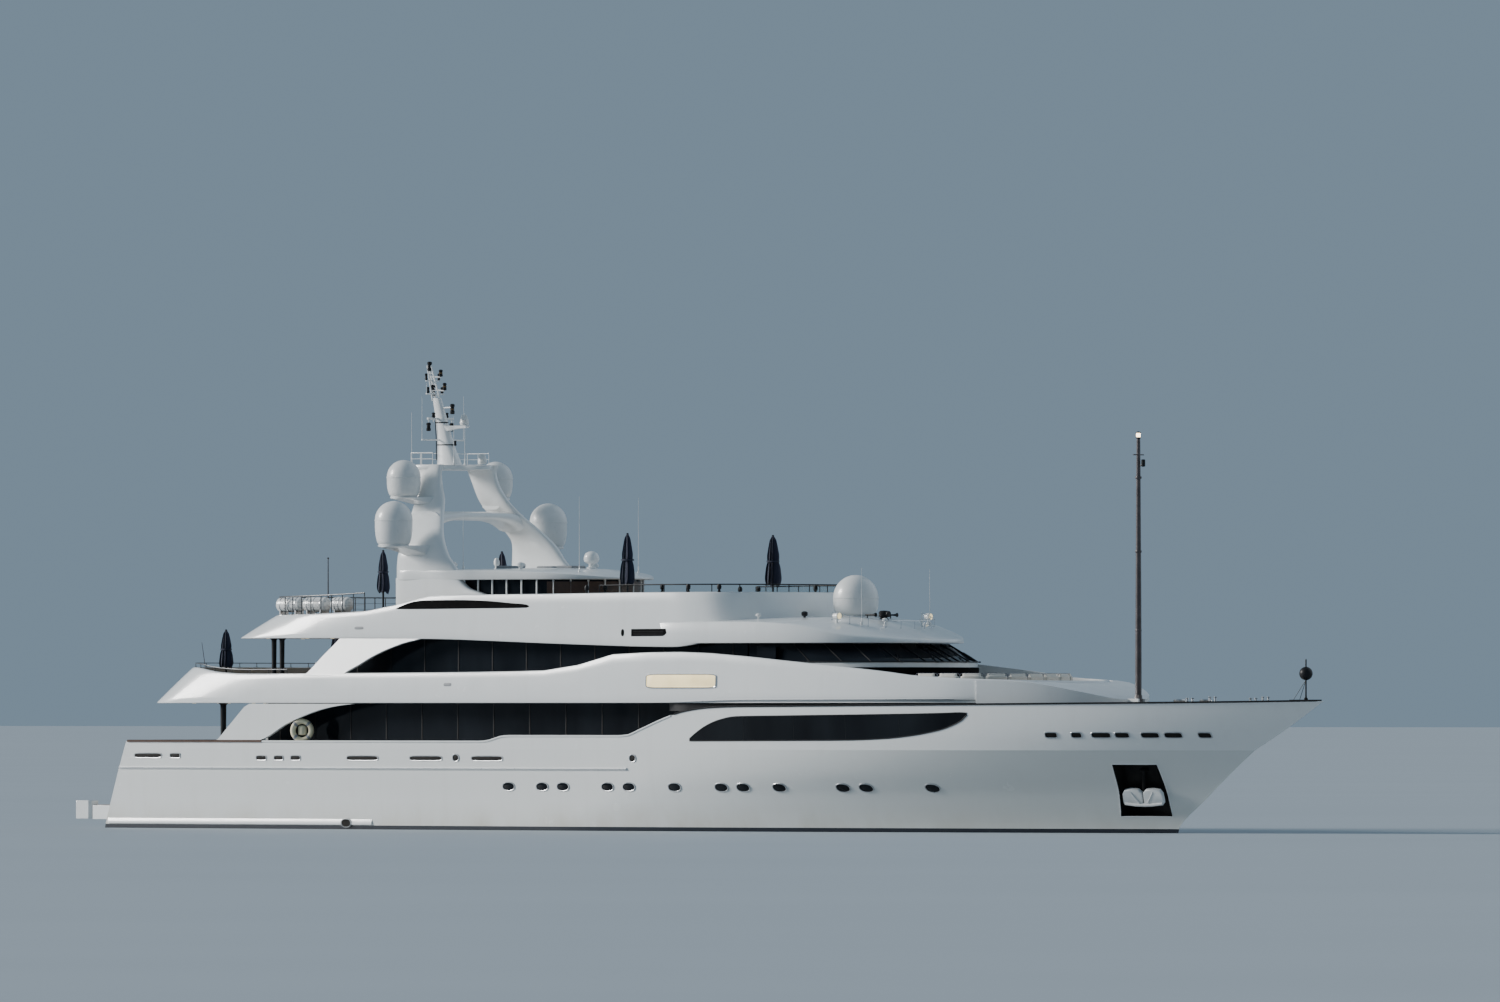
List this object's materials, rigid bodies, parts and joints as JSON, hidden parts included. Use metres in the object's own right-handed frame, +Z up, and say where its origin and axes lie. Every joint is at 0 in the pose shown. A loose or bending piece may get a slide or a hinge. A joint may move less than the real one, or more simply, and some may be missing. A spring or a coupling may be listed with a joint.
{
  "type": "motor yacht, 1:2 scale model",
  "caption": "Three-deck displacement motor yacht with flared bow, dark wrap-round glazing, radar arch with satellite domes, foremast, swim platform and furled parasols.",
  "frame": {"origin": "on the centreline at mid length, in the plane of the waterline", "axes": "+X to the bow, +Y to port, +Z up"},
  "size_m": [31.6419, 6.1858, 11.485],
  "materials": {
    "white_paint": "high gloss topside enamel",
    "bottom_paint": "matte antifouling",
    "dark_glass": "dark tinted, polished",
    "steel": "satin",
    "bronze": "polished blades",
    "dome_plastic": "smooth semi-gloss shell",
    "dark_spar": "satin",
    "navy_fabric": "woven acrylic",
    "cushion_fabric": "woven outdoor fabric",
    "teak": "scrubbed planks with dark caulking",
    "chrome": "polished stainless rail",
    "dark_trim": "satin black",
    "lamp": "lit lens"
  },
  "bodies": {
    "ship": {"hull": "white_paint", "bulwark_aft_starboard": "white_paint", "bulwark_aft_port": "white_paint", "bulwark_fore_starboard": "white_paint", "bulwark_fore_port": "white_paint", "transom_bulwark": "white_paint", "swim_platform": "white_paint", "saloon_walls": "white_paint", "upper_deck": "white_paint", "upper_bulwark_starboard": "white_paint", "upper_bulwark_port": "white_paint", "upper_house_walls": "white_paint", "wheelhouse_wall": "white_paint", "foredeck_trunk": "white_paint", "sun_deck": "white_paint", "sun_bulwark_starboard": "white_paint", "sun_bulwark_port": "white_paint", "hardtop": "white_paint", "radar_arch": "white_paint", "mast": "white_paint", "shaft_starboard": "steel", "shaft_port": "steel", "anchor_starboard": "steel", "anchor_port": "steel", "saloon_glass_starboard": "dark_glass", "saloon_glass_port": "dark_glass", "upper_glass_starboard": "dark_glass", "upper_glass_port": "dark_glass", "wheelhouse_windows": "dark_glass", "bar_glass": "dark_glass", "dome_lower_starboard": "dome_plastic", "dome_lower_port": "dome_plastic", "dome_upper_starboard": "dome_plastic", "dome_upper_port": "dome_plastic", "dome_forward": "dome_plastic", "jackstaff": "dark_spar", "parasol_upper_deck_starboard": "navy_fabric", "parasol_upper_deck_port": "navy_fabric", "parasol_sun_deck_aft_starboard": "navy_fabric", "parasol_sun_deck_aft_port": "navy_fabric", "parasol_sun_deck_fore_starboard": "navy_fabric", "parasol_sun_deck_fore_port": "navy_fabric", "foredeck_settee": "cushion_fabric", "sun_deck_settee": "cushion_fabric"},
    "stern_door": {"stern_door": "white_paint"},
    "rudder_starboard": {"rudder_starboard": "bottom_paint"},
    "rudder_port": {"rudder_port": "bottom_paint"},
    "propeller_starboard": {"propeller_starboard": "bronze"},
    "propeller_port": {"propeller_port": "bronze"},
    "stabiliser_starboard": {"stabiliser_starboard": "bottom_paint"},
    "stabiliser_port": {"stabiliser_port": "bottom_paint"},
    "saloon_door_starboard": {"saloon_door_starboard": "dark_glass"},
    "saloon_door_port": {"saloon_door_port": "dark_glass"},
    "upper_door_starboard": {"upper_door_starboard": "dark_glass"},
    "upper_door_port": {"upper_door_port": "dark_glass"},
    "wing_door_starboard": {"wing_door_starboard": "dark_glass"},
    "wing_door_port": {"wing_door_port": "dark_glass"},
    "radar_scanner_lower": {"radar_scanner_lower": "dome_plastic"},
    "radar_scanner_upper": {"radar_scanner_upper": "dome_plastic"},
    "foremast": {"foremast": "dark_spar"}
  },
  "joints": [
    {"name": "stern_door_hinge", "type": "hinge", "parent": "ship", "child": "stern_door", "pos_m": [-14.507, 0, 1.2], "axis": [0, 1, 0], "range_deg": [0, 80]},
    {"name": "rudder_starboard_turn", "type": "hinge", "parent": "ship", "child": "rudder_starboard", "pos_m": [-13.275, -1.15, -1], "axis": [0, 0, 1], "range_deg": [-35, 35]},
    {"name": "rudder_port_turn", "type": "hinge", "parent": "ship", "child": "rudder_port", "pos_m": [-13.275, 1.15, -1], "axis": [0, 0, 1], "range_deg": [-35, 35]},
    {"name": "propeller_starboard_spin", "type": "hinge", "parent": "ship", "child": "propeller_starboard", "pos_m": [-12.25, -1.15, -1.125], "axis": [1, 0, 0], "continuous": true},
    {"name": "propeller_port_spin", "type": "hinge", "parent": "ship", "child": "propeller_port", "pos_m": [-12.25, 1.15, -1.125], "axis": [1, 0, 0], "continuous": true},
    {"name": "stabiliser_starboard_turn", "type": "hinge", "parent": "ship", "child": "stabiliser_starboard", "pos_m": [0.5, -2.45, -0.9], "axis": [0, -0.766, -0.6428], "range_deg": [-20, 20]},
    {"name": "stabiliser_port_turn", "type": "hinge", "parent": "ship", "child": "stabiliser_port", "pos_m": [0.5, 2.45, -0.9], "axis": [0, 0.766, -0.6428], "range_deg": [-20, 20]},
    {"name": "saloon_door_starboard_slide", "type": "slide", "parent": "ship", "child": "saloon_door_starboard", "axis": [0, -1, 0], "range_m": [0, 0.7]},
    {"name": "saloon_door_port_slide", "type": "slide", "parent": "ship", "child": "saloon_door_port", "axis": [0, 1, 0], "range_m": [0, 0.7]},
    {"name": "upper_door_starboard_slide", "type": "slide", "parent": "ship", "child": "upper_door_starboard", "axis": [0, -1, 0], "range_m": [0, 0.59]},
    {"name": "upper_door_port_slide", "type": "slide", "parent": "ship", "child": "upper_door_port", "axis": [0, 1, 0], "range_m": [0, 0.59]},
    {"name": "wing_door_starboard_slide", "type": "slide", "parent": "ship", "child": "wing_door_starboard", "axis": [-1, 0, 0], "range_m": [0, 0.48]},
    {"name": "wing_door_port_slide", "type": "slide", "parent": "ship", "child": "wing_door_port", "axis": [-1, 0, 0], "range_m": [0, 0.48]},
    {"name": "radar_scanner_lower_spin", "type": "hinge", "parent": "ship", "child": "radar_scanner_lower", "pos_m": [-6.6, 0, 7.65], "axis": [0, 0, 1], "continuous": true},
    {"name": "radar_scanner_upper_spin", "type": "hinge", "parent": "ship", "child": "radar_scanner_upper", "pos_m": [-7.1, 0, 8.475], "axis": [0, 0, 1], "continuous": true},
    {"name": "foremast_fold", "type": "hinge", "parent": "ship", "child": "foremast", "pos_m": [11.025, 0, 2.625], "axis": [0, 1, 0], "range_deg": [0, 75]}
  ],
  "couplings": [
    {"joint": "rudder_port_turn", "follows": "rudder_starboard_turn", "ratio": 1}
  ]
}
